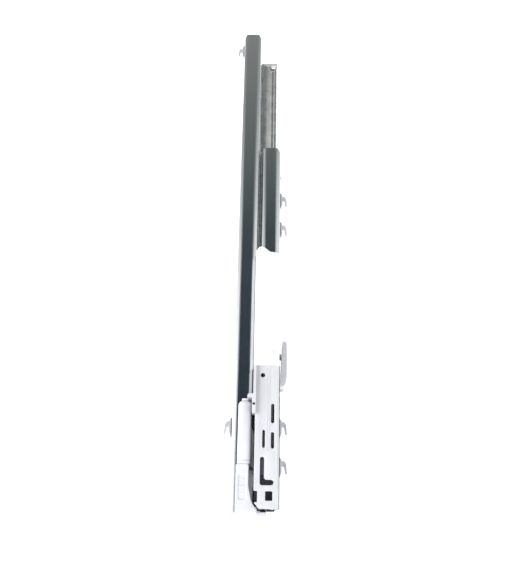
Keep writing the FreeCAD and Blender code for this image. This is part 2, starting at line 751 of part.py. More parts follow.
def build_trigger():
    body = new_body("closer_trigger")
    block = box_of("trigger_left", "trigger_rear", "trigger_right", "trigger_front")
    pad(body, "XY_Plane", [block], "trigger_base", "5.2")
    arm = box_of("trigger_arm_x", "trigger_rear", "trigger_left + 0.5", "trigger_rear + 2")
    pad(body, "XY_Plane", [arm], "arm_base", "3.2")
    pocket(body, "XY_Plane", [("track_x", "track_front", "track_pin_r")], "arm_base", "6")
    notch = box_of("21", "trigger_rear - 1", "24.6", "trigger_rear + 6")
    pocket(body, "XY_Plane", [notch], "26.5", "4")
    free = [
        ("trigger_right", "trigger_rear"),
        ("trigger_right", "trigger_front"),
        ("trigger_left", "trigger_front"),
    ]
    round_edges(body, "1", corners(2, free))
    pin = cylinder("track_pin", "track_pin_r", "5.5", "track_x", "track_front", "arm_base", "Z")
    keep(pin, "track_pin")


def build_springs():
    for label, x in (("left_spring", "left_spring_x"), ("right_spring", "right_spring_x")):
        start = "trigger_front + spring_gap"
        length = "anchor_y - trigger_front - spring_gap"
        outer = cylinder("coil", "spring_r", length, x, start, "spring_z", "Y")
        inner = cylinder("bore", "spring_r - spring_wire", length, x, start, "spring_z", "Y")
        keep(cut("spring", outer, inner), label)
    anchor = new_body("spring_anchor")
    bar = box_of("unit_left + tray_wall + 0.1", "anchor_y", "narrow_edge - 1", "anchor_y + 2")
    pad(anchor, "XY_Plane", [bar], "unit_base + floor", "5.4")


# ---------------------------------------------------------------- rear block and damper


def build_rear_block():
    body = new_body("rear_block")
    plate_bottom = "-slide_height / 2 + 0.5"
    end_face = box_of("0", plate_bottom, "plate_right", "plate_top")
    pad(body, "XZ_Plane", [end_face], "-end_plate", "end_plate")
    pad(body, "XZ_Plane", [box_of("3.5", "-12", "11.5", "12")], "-1", "11")
    # the part that carries the damper flares out beside the closing unit
    plan = [
        ("block_left", "-0.6"),
        ("block_left", "damper_rear"),
        ("block_right", "damper_rear"),
        ("block_right", "14"),
        ("12.6", "6"),
        ("13.3", "4.6"),
        ("16", "1"),
        ("16", "-0.6"),
    ]
    pad(body, "XY_Plane", [plan], "unit_base + plate", "block_top - unit_base - plate")
    # a foot beside the catch bracket stands on the flange
    foot = box_of("block_left", "-0.6", "bracket_left - 0.1", "damper_rear")
    pad(body, "XY_Plane", [foot], "unit_base", "plate")
    round_edges(body, "2", corners(1, [("block_left", "block_top"), ("block_right", "block_top")]))
    pocket(body, "YZ_Plane", [("locating_y", "0", "locating_r")], "0", "8.5")
    plate_corners = [(x, z) for x in ("0", "plate_right") for z in ("plate_top", plate_bottom)]
    round_edges(body, "1.5", corners(1, plate_corners))
    pin = cylinder("rear_block_pin", "locating_r", "8.5", "0", "locating_y", "0", "X")
    keep(pin, "rear_block_pin")
    pads = []
    for x, far in (("12", "middle_start - 0.1"), ("18.2", "drawer_start - 0.1")):
        bumper = doc.addObject("Part::Box", "bumper")
        bumper.setExpression("Length", linked("pad_width"))
        bumper.setExpression("Width", linked(far))
        bumper.setExpression("Height", linked("pad_tall"))
        bumper.setExpression("Placement.Base.x", linked(x))
        bumper.setExpression("Placement.Base.y", linked("-cabinet_length / 2"))
        bumper.setExpression("Placement.Base.z", linked("-pad_tall / 2"))
        pads.append(bumper)
    group("closing_bumpers", pads)


def build_catch():
    body = new_body("catch_bracket")
    plan = [
        ("bracket_left", "1"),
        ("bracket_right", "1"),
        ("bracket_right", "44"),
        ("bracket_neck", "50"),
        ("bracket_neck", "bracket_front"),
        ("bracket_left", "bracket_front"),
    ]
    pad(body, "XY_Plane", [plan], "unit_base", "plate")
    pocket(body, "XY_Plane", [("post_x", "post_y", "post_r")], "unit_base - 1", "plate + 2")
    front = [("bracket_left", "bracket_front"), ("bracket_neck", "bracket_front")]
    round_edges(body, "2", corners(2, front))
    keep(cylinder("catch_post", "post_r", "5.6", "post_x", "post_y", "unit_base", "Z"), "catch_post")


def build_damper():
    axis = ("damper_x", "damper_z")
    tube = new_body("damper_cylinder")
    pad(tube, "XZ_Plane", [(*axis, "damper_r")], "damper_rear", "damper_front - damper_rear")
    bore = [(*axis, "damper_r - damper_wall")]
    pocket(tube, "XZ_Plane", bore, "damper_rear + 2", "damper_front - damper_rear")
    cap = new_body("damper_cap")
    pad(cap, "XZ_Plane", [(*axis, "damper_r")], "damper_front", "cap_length")
    pocket(cap, "XZ_Plane", [(*axis, "rod_r + 0.05")], "damper_front - 1", "4")
    front = number("damper_front + cap_length") - 1e-3
    rim = number("2 * damper_r") - 0.01
    round_edges(cap, "2.3", lambda e: e.BoundBox.YMin > front and e.BoundBox.XLength > rim)
    x, z = axis
    tip_rear = "striker_front - striker_arm - tip_length - 0.1"
    keep(cylinder("damper_rod", "rod_r", f"{tip_rear} - rod_rear", x, "rod_rear", z, "Y"), "damper_rod")
    keep(cylinder("damper_piston", "damper_r - 1", "2", x, "rod_rear - 2", z, "Y"), "damper_piston")
    keep(cylinder("rod_tip", "2", "tip_length", x, tip_rear, z, "Y"), "rod_tip")


# ---------------------------------------------------------------- latch


def build_latch():
    lever = new_body("lock_latch")
    height = "2 * latch_half"
    arm = [
        ("latch_x - 1", "latch_y"),
        ("latch_inner", "85"),
        ("latch_inner + 1", "latch_tip_y"),
        ("latch_tip_x", "latch_tip_y"),
        ("latch_tip_x", "83"),
        ("latch_x + knuckle_r", "latch_y"),
    ]
    pad(lever, "XY_Plane", [arm], "-latch_half", height)
    pad(lever, "XY_Plane", [("latch_x", "latch_y", "knuckle_r")], "-latch_half", height)
    bore = [("latch_x", "latch_y", "pin_r + 0.05")]
    pocket(lever, "XY_Plane", bore, "-latch_half - 1", f"{height} + 2")
    round_edges(lever, "2.2", corners(2, [("latch_tip_x", "latch_tip_y")]))
    bracket = new_body("latch_bracket")
    bottom = "-latch_half - ear_gap - ear"
    foot = box_of("slide_width", "latch_y - 3.9", "slide_width + foot", "latch_y + 3.9")
    pad(bracket, "XY_Plane", [foot], bottom, "2 * (latch_half + ear_gap + ear)")
    ear = [
        ("slide_width", "latch_y - 3.1"),
        ("slide_width", "latch_y + 3.1"),
        ("latch_x + 0.8", "latch_y + 2.9"),
        ("latch_x + 2.2", "latch_y"),
        ("latch_x + 0.8", "latch_y - 2.9"),
    ]
    for base in ("latch_half + ear_gap", bottom):
        pad(bracket, "XY_Plane", [ear], base, "ear")
    pocket(bracket, "XY_Plane", [("latch_x", "latch_y", "pin_r")], "-latch_half - 2", f"{height} + 4")
    pin = cylinder("latch_pin", "pin_r", f"{height} + 3", "latch_x", "latch_y", "-latch_half - 1.5", "Z")
    keep(pin, "latch_pin")
    spot = ("latch_spring_height", "slide_width + 0.05", "latch_spring_y", "0", "X")
    outer = cylinder("coil", "latch_spring_r", *spot)
    inner = cylinder("bore", "latch_spring_r - spring_wire", *spot)
    keep(cut("spring", outer, inner), "latch_spring")


# ---------------------------------------------------------------- build and write

build_cabinet_member()
build_rear_block()
build_catch()
build_damper()
build_middle()
build_cage("cabinet", "0", 1, "cabinet_cage_start", "cabinet_cage_length", 12)
build_drawer_member()
build_cage("drawer", "slide_width", -1, "drawer_cage_start", "drawer_cage_length", 11)
build_tray()
build_striker()
build_covers()
build_trigger()
build_springs()
build_latch()
doc.recompute()

for item in doc.Objects:
    if {"Invalid", "Error"} & set(item.State):
        raise RuntimeError(f"{item.Label} failed: {item.State}")
for piece in PARTS:
    if piece.Shape.isNull() or not piece.Shape.isValid():
        raise RuntimeError(f"{piece.Label} has no valid shape")

os.makedirs("parts", exist_ok=True)
for piece in PARTS:
    piece.Shape.exportStep(os.path.join("parts", f"{piece.Label}.step"))
    print(f"{piece.Label}: {piece.Shape.Volume:.1f} mm3, {len(piece.Shape.Solids)} solid(s)")
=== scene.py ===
import json
import math

import bmesh
import bpy
from mathutils import Matrix, Vector


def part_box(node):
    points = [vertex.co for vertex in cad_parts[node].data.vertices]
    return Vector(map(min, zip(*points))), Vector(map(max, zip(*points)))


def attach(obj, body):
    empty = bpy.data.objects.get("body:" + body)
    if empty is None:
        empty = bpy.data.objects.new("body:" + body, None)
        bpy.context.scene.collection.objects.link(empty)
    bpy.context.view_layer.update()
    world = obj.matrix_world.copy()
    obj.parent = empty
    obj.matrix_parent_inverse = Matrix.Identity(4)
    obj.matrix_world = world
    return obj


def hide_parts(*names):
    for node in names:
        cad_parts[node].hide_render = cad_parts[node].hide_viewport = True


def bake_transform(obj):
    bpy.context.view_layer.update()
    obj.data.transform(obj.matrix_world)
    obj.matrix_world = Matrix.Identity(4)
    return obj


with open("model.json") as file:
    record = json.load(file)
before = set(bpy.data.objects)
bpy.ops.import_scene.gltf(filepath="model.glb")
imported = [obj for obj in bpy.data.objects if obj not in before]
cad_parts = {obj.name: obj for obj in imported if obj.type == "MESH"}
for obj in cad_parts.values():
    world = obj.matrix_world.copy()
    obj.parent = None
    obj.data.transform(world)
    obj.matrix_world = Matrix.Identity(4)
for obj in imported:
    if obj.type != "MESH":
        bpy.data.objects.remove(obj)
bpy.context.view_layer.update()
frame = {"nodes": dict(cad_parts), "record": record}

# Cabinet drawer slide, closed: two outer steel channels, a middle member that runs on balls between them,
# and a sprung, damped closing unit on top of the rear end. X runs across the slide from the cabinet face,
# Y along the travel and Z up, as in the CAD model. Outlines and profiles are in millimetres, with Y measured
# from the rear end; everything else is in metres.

MM = 0.001
REAR = -0.1778  # rear end of the cabinet member
FLOOR_Z = -0.0231
MIDDLE_X = 0.0143  # half the slide's width
FACE = 0.0146  # anything farther than this from MIDDLE_X stands off a mounting face

WORN_METAL = (0.86, 0.87, 0.88)
FINE_LINES = (2600, 14, 2600)  # how tightly the noise is packed along X, Y and Z
BROAD_LINES = (700, 5, 700)


def along(distance):
    """Y of a point at this many millimetres from the cabinet member's rear end."""
    return REAR + distance * MM


# ---------------------------------------------------------------- node helpers


def new_group(name, inputs, outputs):
    """A shader node group with its group input and output nodes."""
    tree = bpy.data.node_groups.new(name, "ShaderNodeTree")
    for label, kind, value in inputs:
        socket = tree.interface.new_socket(name=label, in_out="INPUT", socket_type=kind)
        if value is not None:
            socket.default_value = value
    for label, kind in outputs:
        tree.interface.new_socket(name=label, in_out="OUTPUT", socket_type=kind)
    return tree, tree.nodes.new("NodeGroupInput"), tree.nodes.new("NodeGroupOutput")


def add(tree, kind, links=None, **settings):
    """A node with its settings made and its inputs linked or set, by input name or number."""
    node = tree.nodes.new(kind)
    for name, value in settings.items():
        setattr(node, name, value)
    for name, value in (links or {}).items():
        socket = node.inputs[name]
        if isinstance(value, bpy.types.NodeSocket):
            tree.links.new(value, socket)
        else:
            socket.default_value = value
    return node


def math_node(tree, operation, a, b=0.0, clamp=False):
    node = add(tree, "ShaderNodeMath", {0: a, 1: b}, operation=operation)
    node.use_clamp = clamp
    return node.outputs[0]


def ramp(tree, value, stops):
    """A colour ramp; stops are (position, grey or colour)."""
    node = add(tree, "ShaderNodeValToRGB", {0: value})
    elements = node.color_ramp.elements
    while len(elements) < len(stops):
        elements.new(0.5)
    for element, (position, shade) in zip(elements, stops):
        element.position = position
        element.color = (shade, shade, shade, 1) if isinstance(shade, float) else (*shade, 1)
    return node.outputs[0]


def mix(tree, factor, a, b, blend_type="MIX"):
    node = add(tree, "ShaderNodeMix", data_type="RGBA", blend_type=blend_type)
    for index, value in ((0, factor), (6, a), (7, b)):
        if isinstance(value, bpy.types.NodeSocket):
            tree.links.new(value, node.inputs[index])
        else:
            node.inputs[index].default_value = value if index == 0 else (*value, 1)
    return node.outputs[2]


# ---------------------------------------------------------------- shared effects


def make_rolling_lines():
    """Fine lines that rolling leaves along the length of a steel strip."""
    tree, inside, outside = new_group(
        "rolling lines",
        [("Fineness", "NodeSocketFloat", 1.0), ("Strength", "NodeSocketFloat", 1.0)],
        [("Lines", "NodeSocketFloat")],
    )
    place = add(tree, "ShaderNodeTexCoord").outputs["Object"]
    fineness = inside.outputs["Fineness"]
    fine_place = add(tree, "ShaderNodeMapping", {"Vector": place, "Scale": FINE_LINES}).outputs[0]
    fine = add(tree, "ShaderNodeTexNoise", {"Vector": fine_place, "Scale": fineness, "Detail": 4})
    broad_place = add(tree, "ShaderNodeMapping", {"Vector": place, "Scale": BROAD_LINES}).outputs[0]
    broad = add(tree, "ShaderNodeTexNoise", {"Vector": broad_place, "Scale": fineness, "Detail": 2})
    both = math_node(tree, "ADD", fine.outputs[0], broad.outputs[0])
    centred = math_node(tree, "SUBTRACT", both, 1.0)
    result = math_node(tree, "MULTIPLY", centred, inside.outputs["Strength"])
    tree.links.new(result, outside.inputs["Lines"])
    return tree


def make_handling():
    """Smudges and faint stains, large and small."""
    tree, inside, outside = new_group(
        "handling marks",
        [("Size", "NodeSocketFloat", 1.0), ("Amount", "NodeSocketFloat", 0.5)],
        [("Marks", "NodeSocketFloat")],
    )
    place = add(tree, "ShaderNodeTexCoord").outputs["Object"]
    scale = math_node(tree, "DIVIDE", 90.0, inside.outputs["Size"])
    cloud = add(
        tree,
        "ShaderNodeTexNoise",
        {"Vector": place, "Scale": scale, "Detail": 5, "Distortion": 0.6},
    )
    soft = ramp(tree, cloud.outputs[0], [(0.42, 0.0), (0.68, 1.0)])
    tree.links.new(math_node(tree, "MULTIPLY", soft, inside.outputs["Amount"]), outside.inputs["Marks"])
    return tree


def make_edge_wear():
    """One on edges and corners, fading over Reach, broken up by noise."""
    tree, inside, outside = new_group(
        "edge wear",
        [("Reach", "NodeSocketFloat", 0.0005), ("Amount", "NodeSocketFloat", 1.0)],
        [("Wear", "NodeSocketFloat")],
    )
    rounded = add(tree, "ShaderNodeBevel", {"Radius": inside.outputs["Reach"]}, samples=4)
    flat = add(tree, "ShaderNodeNewGeometry").outputs["Normal"]
    same = add(tree, "ShaderNodeVectorMath", {0: rounded.outputs[0], 1: flat}, operation="DOT_PRODUCT")
    edge = math_node(tree, "SUBTRACT", 1.0, same.outputs["Value"])
    place = add(tree, "ShaderNodeTexCoord").outputs["Object"]
    noise = add(tree, "ShaderNodeTexNoise", {"Vector": place, "Scale": 900.0, "Detail": 3})
    broken = math_node(tree, "MULTIPLY", math_node(tree, "MULTIPLY", edge, 5.0), noise.outputs[0])
    worn = math_node(tree, "MULTIPLY", broken, inside.outputs["Amount"], clamp=True)
    tree.links.new(worn, outside.inputs["Wear"])
    return tree


def make_moulded_skin():
    """The fine grain and soft unevenness of a moulded plastic face."""
    tree, inside, outside = new_group(
        "moulded skin",
        [("Grain", "NodeSocketFloat", 1.0)],
        [("Height", "NodeSocketFloat"), ("Tone", "NodeSocketFloat")],
    )
    place = add(tree, "ShaderNodeTexCoord").outputs["Object"]
    scale = math_node(tree, "MULTIPLY", 2400.0, inside.outputs["Grain"])
    grain = add(tree, "ShaderNodeTexNoise", {"Vector": place, "Scale": scale, "Detail": 2})
    waves = add(tree, "ShaderNodeTexNoise", {"Vector": place, "Scale": 120.0, "Detail": 1})
    height = math_node(tree, "ADD", math_node(tree, "MULTIPLY", grain.outputs[0], 0.3), waves.outputs[0])
    tree.links.new(height, outside.inputs["Height"])
    tree.links.new(waves.outputs[0], outside.inputs["Tone"])
    return tree


def make_standing_off():
    """One on the hooks and dimples that stand off the two mounting faces, nought on the rest."""
    tree, _, outside = new_group("standing off", [], [("Mask", "NodeSocketFloat")])
    place = add(tree, "ShaderNodeTexCoord").outputs["Object"]
    across = add(tree, "ShaderNodeSeparateXYZ", {0: place}).outputs["X"]
    from_middle = math_node(tree, "ABSOLUTE", math_node(tree, "SUBTRACT", across, MIDDLE_X))
    beyond = math_node(tree, "SUBTRACT", from_middle, FACE)
    tree.links.new(math_node(tree, "MULTIPLY", beyond, 2500.0, clamp=True), outside.inputs["Mask"])
    return tree


ROLLING = make_rolling_lines()
HANDLING = make_handling()
EDGE_WEAR = make_edge_wear()
MOULDED = make_moulded_skin()
STANDING_OFF = make_standing_off()


def use(tree, group, **values):
    node = tree.nodes.new("ShaderNodeGroup")
    node.node_tree = group
    for name, value in values.items():
        node.inputs[name].default_value = value
    return node


# ---------------------------------------------------------------- materials


def new_material(name, **fixed):
    """A material with its Principled BSDF, whose unchanging values are set on the shader."""
    material = bpy.data.materials.new(name)
    material.use_nodes = True
    tree = material.node_tree
    shader = tree.nodes["Principled BSDF"]
    for socket, value in fixed.items():
        shader.inputs[socket.replace("_", " ")].default_value = value
    return material, tree, shader


def rolled_zinc(name, light, shade, rough=0.13, lines=1.0, hooks=False, patches=0.0):
    """Zinc-plated rolled steel: streaks, smudges, worn edges, with matt hooks or rubbed patches if asked."""
    material, tree, shader = new_material(name, Metallic=1.0)
    streak = use(tree, ROLLING, Strength=lines).outputs[0]
    marks = use(tree, HANDLING, Size=2.0, Amount=0.6).outputs[0]
    worn = use(tree, EDGE_WEAR, Reach=0.0004, Amount=0.8).outputs[0]
    tone = math_node(tree, "ADD", math_node(tree, "MULTIPLY", streak, 0.8), 0.5, clamp=True)
    base = mix(tree, tone, shade, light)
    stained = mix(tree, math_node(tree, "MULTIPLY", marks, 0.25), base, tuple(c * 0.75 for c in shade))
    colour = mix(tree, worn, stained, WORN_METAL)
    rougher = math_node(tree, "MULTIPLY", streak, 0.08)
    smudged = math_node(tree, "ADD", math_node(tree, "MULTIPLY", marks, 0.06), rough)
    roughness = math_node(tree, "ADD", rougher, smudged, clamp=True)
    if patches:
        rubbed = use(tree, HANDLING, Size=0.5, Amount=patches).outputs[0]
        colour = mix(tree, rubbed, colour, (0.93, 0.93, 0.91))
        roughness = math_node(tree, "ADD", roughness, math_node(tree, "MULTIPLY", rubbed, 0.3), clamp=True)
    if hooks:
        mask = use(tree, STANDING_OFF).outputs[0]
        colour = mix(tree, mask, colour, (0.84, 0.85, 0.86))
        roughness = math_node(tree, "ADD", roughness, math_node(tree, "MULTIPLY", mask, 0.37), clamp=True)
        dull = math_node(tree, "MULTIPLY", mask, 0.3)
        tree.links.new(math_node(tree, "SUBTRACT", 1.0, dull), shader.inputs["Metallic"])
    tree.links.new(colour, shader.inputs["Base Color"])
    tree.links.new(roughness, shader.inputs["Roughness"])
    bump = add(tree, "ShaderNodeBump", {"Height": streak, "Distance": 0.00002, "Strength": 0.5})
    tree.links.new(bump.outputs[0], shader.inputs["Normal"])
    return material


def moulded(
    name,
    colour,
    rough,
    grain=1.0,
    dirt=0.25,
    dirt_colour=(0.55, 0.53, 0.5),
    drawn=0.0,
    painted_glow=0.0,
):
    """Moulded plastic: a fine skin, tone changes, dust, rubbed corners, lines along it if drawn, and a
    painted glow if asked.
    """
    # a small emission makes the plastic glow: painted light that stands in for light scattered inside milky
    # plastic
    material, tree, shader = new_material(name, Specular_IOR_Level=0.45, Emission_Strength=painted_glow)
    skin = use(tree, MOULDED, Grain=grain)
    marks = use(tree, HANDLING, Size=1.3, Amount=dirt).outputs[0]
    worn = use(tree, EDGE_WEAR, Reach=0.0005, Amount=0.4).outputs[0]
    darker = tuple(c * 0.93 for c in colour)
    base = mix(tree, skin.outputs["Tone"], darker, colour)
    if drawn:
        lines = use(tree, ROLLING, Fineness=0.6, Strength=drawn).outputs[0]
        streak = math_node(tree, "ADD", math_node(tree, "MULTIPLY", lines, 2.0), 0.35, clamp=True)
        base = mix(tree, streak, base, tuple(c * 0.89 for c in colour))
    dusty = mix(tree, math_node(tree, "MULTIPLY", marks, 0.5), base, dirt_colour)
    paler = tuple(c + (1 - c) * 0.35 for c in colour)
    shaded = mix(tree, worn, dusty, paler)
    tree.links.new(shaded, shader.inputs["Base Color"])
    tree.links.new(shaded, shader.inputs["Emission Color"])
    roughness = math_node(tree, "ADD", math_node(tree, "MULTIPLY", marks, 0.25), rough, clamp=True)
    tree.links.new(roughness, shader.inputs["Roughness"])
    height = skin.outputs["Height"]
    bump = add(tree, "ShaderNodeBump", {"Height": height, "Distance": 0.00003, "Strength": 0.4})
    tree.links.new(bump.outputs[0], shader.inputs["Normal"])
    return material


def polished_steel():
    """Hard ground steel of balls, pins and rivets."""
    material, tree, shader = new_material("polished steel", Metallic=1.0)
    marks = use(tree, HANDLING, Size=0.25, Amount=0.8).outputs[0]
    tree.links.new(mix(tree, marks, (0.78, 0.79, 0.8), (0.6, 0.6, 0.6)), shader.inputs["Base Color"])
    roughness = math_node(tree, "ADD", math_node(tree, "MULTIPLY", marks, 0.15), 0.12)
    tree.links.new(roughness, shader.inputs["Roughness"])
    return material


def pressed_zinc():
    """Small bent sheet parts: a duller plating with spangles and rubbed edges."""
    material, tree, shader = new_material("pressed zinc", Metallic=0.4)
    place = add(tree, "ShaderNodeTexCoord").outputs["Object"]
    spangle = add(tree, "ShaderNodeTexVoronoi", {"Vector": place, "Scale": 700.0}).outputs["Distance"]
    marks = use(tree, HANDLING, Size=0.6, Amount=0.5).outputs[0]
    worn = use(tree, EDGE_WEAR, Reach=0.0004, Amount=0.8).outputs[0]
    base = mix(tree, spangle, (0.78, 0.78, 0.79), (0.86, 0.86, 0.87))
    stained = mix(tree, math_node(tree, "MULTIPLY", marks, 0.4), base, (0.5, 0.5, 0.5))
    tree.links.new(mix(tree, worn, stained, WORN_METAL), shader.inputs["Base Color"])
    roughness = math_node(tree, "ADD", math_node(tree, "MULTIPLY", marks, 0.15), 0.48)
    tree.links.new(roughness, shader.inputs["Roughness"])
    bump = add(tree, "ShaderNodeBump", {"Height": spangle, "Distance": 0.00002, "Strength": 0.3})
    tree.links.new(bump.outputs[0], shader.inputs["Normal"])
    return material


ZINC = rolled_zinc("zinc steel", (0.74, 0.76, 0.77), (0.6, 0.62, 0.64), hooks=True)
PRESSED = pressed_zinc()
MIDDLE_ZINC = rolled_zinc(
    "middle steel",
    (0.74, 0.74, 0.73),
    (0.58, 0.58, 0.57),
    rough=0.2,
    lines=1.1,
    patches=0.3,
)
CAGE = rolled_zinc("cage steel", (0.78, 0.77, 0.73), (0.62, 0.6, 0.56), rough=0.3)
POLISHED = polished_steel()
SPRING_STEEL = rolled_zinc("spring steel", (0.5, 0.5, 0.52), (0.34, 0.34, 0.36), rough=0.3)
# the white plastic glows a little from its emission: painted light
WHITE = moulded("white plastic", (0.82, 0.825, 0.815), 0.42, dirt=0.12, painted_glow=0.22)
PALE = moulded("grey plastic", (0.715, 0.727, 0.75), 0.4, dirt=0.3, drawn=1.0)
DARK = moulded("dark plastic", (0.06, 0.065, 0.085), 0.45, dirt_colour=(0.2, 0.2, 0.2))
RUBBER = moulded("rubber", (0.03, 0.03, 0.032), 0.75, grain=0.6, dirt_colour=(0.12, 0.12, 0.12))
DAMPER_PLASTIC = moulded("damper plastic", (0.74, 0.74, 0.785), 0.38)
BLOCK = moulded("block plastic", (0.75, 0.76, 0.79), 0.42)
MARKING = moulded("marking", (0.72, 0.72, 0.72), 0.5)
BUMPER = moulded("bumper plastic", (0.4, 0.4, 0.4), 0.5, dirt=0.5)

FINISHES = {
    "zinc_steel": ZINC,
    "middle_steel": MIDDLE_ZINC,
    "cage_steel": CAGE,
    "polished_steel": POLISHED,
    "spring_steel": SPRING_STEEL,
    "white_plastic": WHITE,
    "grey_plastic": PALE,
    "dark_plastic": DARK,
    "rubber": RUBBER,
}

PRESSED_PARTS = ("lock_latch", "latch_bracket", "latch_pin", "catch_bracket")

for part in frame["record"]["subparts"]:
    node = frame["nodes"][part["node"]]
    finish = PRESSED if part["node"] in PRESSED_PARTS else FINISHES[part["material_slot"]]
    node.data.materials.clear()
    node.data.materials.append(finish)


# ---------------------------------------------------------------- mesh helpers


def finish_mesh(name, mesh, material, body, replaced=(), smooth_angle=35):
    """Puts a mesh in the scene as a piece of the slide that moves with a CAD body."""
    piece = bpy.data.objects.new(name, mesh)
    bpy.context.collection.objects.link(piece)
    mesh.materials.clear()
    mesh.materials.append(material)
    for polygon in mesh.polygons:
        polygon.use_smooth = True
    mesh.set_sharp_from_angle(angle=math.radians(smooth_angle))
    if replaced:
        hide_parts(*replaced)
    if body:
        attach(piece, body)
    return piece


def rounded(points, radius, steps=6):
    """The closed outline with each of its corners turned into an arc of up to radius."""
    result = []
    count = len(points)
    for i, here in enumerate(points):
        here = Vector(here)
        to_last = Vector(points[i - 1]) - here
        to_next = Vector(points[(i + 1) % count]) - here
        turn = to_last.angle(to_next)
        if radius <= 0 or turn > math.radians(176):
            result.append(tuple(here))
            continue
        back = min(radius / math.tan(turn / 2), to_last.length * 0.45, to_next.length * 0.45)
        arc_radius = back * math.tan(turn / 2)
        bisector = (to_last.normalized() + to_next.normalized()).normalized()
        centre = here + bisector * (arc_radius / math.sin(turn / 2))
        first = here + to_last.normalized() * back - centre
        sweep = first.angle_signed(here + to_next.normalized() * back - centre)
        for k in range(steps + 1):
            bend = -sweep * k / steps
            c, s = math.cos(bend), math.sin(bend)
            result.append((centre.x + first.x * c - first.y * s, centre.y + first.x * s + first.y * c))
    return result


def slot_outline(x0, y0, x1, y1, radius, steps=8):
    """A straight slot, or a round hole if its two ends are one point."""
    heading = math.atan2(y1 - y0, x1 - x0) if (x0, y0) != (x1, y1) else 0.0
    points = []
    for (x, y), start in (((x1, y1), heading - math.pi / 2), ((x0, y0), heading + math.pi / 2)):
        for k in range(steps + 1):
            bend = start + math.pi * k / steps
            points.append((x + radius * math.cos(bend), y + radius * math.sin(bend)))
    return points


def box_outline(x0, y0, x1, y1):
    return [(x0, y0), (x1, y0), (x1, y1), (x0, y1)]


def plate_mesh(outline, holes, bottom, top, rounding):
    """A moulded plate seen from above: x in mm, y in mm from the rear end, all its edges rounded."""
    curve = bpy.data.curves.new("plate", "CURVE")
    curve.dimensions = "2D"
    curve.fill_mode = "BOTH"
    curve.extrude = ((top - bottom) / 2 - rounding) * MM
    curve.bevel_depth = rounding * MM
    curve.bevel_resolution = 2
    curve.offset = -rounding * MM
    for loop in [outline, *holes]:
        spline = curve.splines.new("POLY")
        spline.points.add(len(loop) - 1)
        for point, (x, y) in zip(spline.points, loop):
            point.co = (x * MM, along(y), 0, 1)
        spline.use_cyclic_u = True
    holder = bpy.data.objects.new("plate", curve)
    bpy.context.collection.objects.link(holder)
    bpy.context.view_layer.update()
    mesh = bpy.data.meshes.new_from_object(holder.evaluated_get(bpy.context.evaluated_depsgraph_get()))
    bpy.data.objects.remove(holder)
    bpy.data.curves.remove(curve)
    mesh.transform(Matrix.Translation((0, 0, (top + bottom) / 2 * MM)))
    clean = bmesh.new()
    clean.from_mesh(mesh)
    bmesh.ops.remove_doubles(clean, verts=clean.verts, dist=1e-6)
    bmesh.ops.recalc_face_normals(clean, faces=clean.faces)
    clean.to_mesh(mesh)
    clean.free()
    return mesh


def joined(name, meshes):
    """One mesh made of several."""
    whole = bmesh.new()
    for mesh in meshes:
        whole.from_mesh(mesh)
        bpy.data.meshes.remove(mesh)
    result = bpy.data.meshes.new(name)
    whole.to_mesh(result)
    whole.free()
    return result


def turned_mesh(profile, start, steps=48):
    """A shape turned about a line along Y: profile is (distance, radius) in mm, from start in mm."""
    shape = bmesh.new()
    rings = []
    x0, y0, z0 = start
    for distance, radius in profile:
        ring = []
        for k in range(steps):
            bend = 2 * math.pi * k / steps
            x = x0 + radius * math.cos(bend)
            z = z0 + radius * math.sin(bend)
            ring.append(shape.verts.new((x * MM, along(y0 + distance), z * MM)))
        rings.append(ring)
    for low, high in zip(rings, rings[1:]):
        for k in range(steps):
            shape.faces.new((low[k], low[(k + 1) % steps], high[(k + 1) % steps], high[k]))
    if profile[0][1] > 0:
        shape.faces.new(rings[0])
    if profile[-1][1] > 0:
        shape.faces.new(rings[-1])
    bmesh.ops.recalc_face_normals(shape, faces=shape.faces)
    mesh = bpy.data.meshes.new("turned")
    shape.to_mesh(mesh)
    shape.free()
    return mesh


def wire_mesh(points, radius, steps=8):
    """Round wire along points in mm, x y z with y from the rear end."""
    spots = [Vector((x * MM, along(y), z * MM)) for x, y, z in points]
    shape = bmesh.new()
    side = Vector((0, 0, 1))
    last = None
    for i, spot in enumerate(spots):
        ahead = (spots[min(i + 1, len(spots) - 1)] - spots[max(i - 1, 0)]).normalized()
        side = (side - ahead * side.dot(ahead)).normalized()
        other = ahead.cross(side)
        ring = []
        for k in range(steps):
            bend = 2 * math.pi * k / steps
            outward = side * math.cos(bend) + other * math.sin(bend)
            ring.append(shape.verts.new(spot + outward * radius * MM))
        if last:
            for k in range(steps):
                shape.faces.new((last[k], last[(k + 1) % steps], ring[(k + 1) % steps], ring[k]))
        else:
            shape.faces.new(ring)
        last = ring
    shape.faces.new(last)
    bmesh.ops.recalc_face_normals(shape, faces=shape.faces)
    mesh = bpy.data.meshes.new("wire")
    shape.to_mesh(mesh)
    shape.free()
    return mesh


# ---------------------------------------------------------------- closing unit

COVER_TOP = 31.0  # heights of both covers' plates
COVER_UNDER = 29.8
COVER_JOIN = 84  # from the rear end to where the two covers meet
MECHANISM_LEFT = 13.9
MECHANISM_RIGHT = 28.15
SPRING_COVER_LEFT = 12.5
SPRING_COVER_RIGHT = 27.9


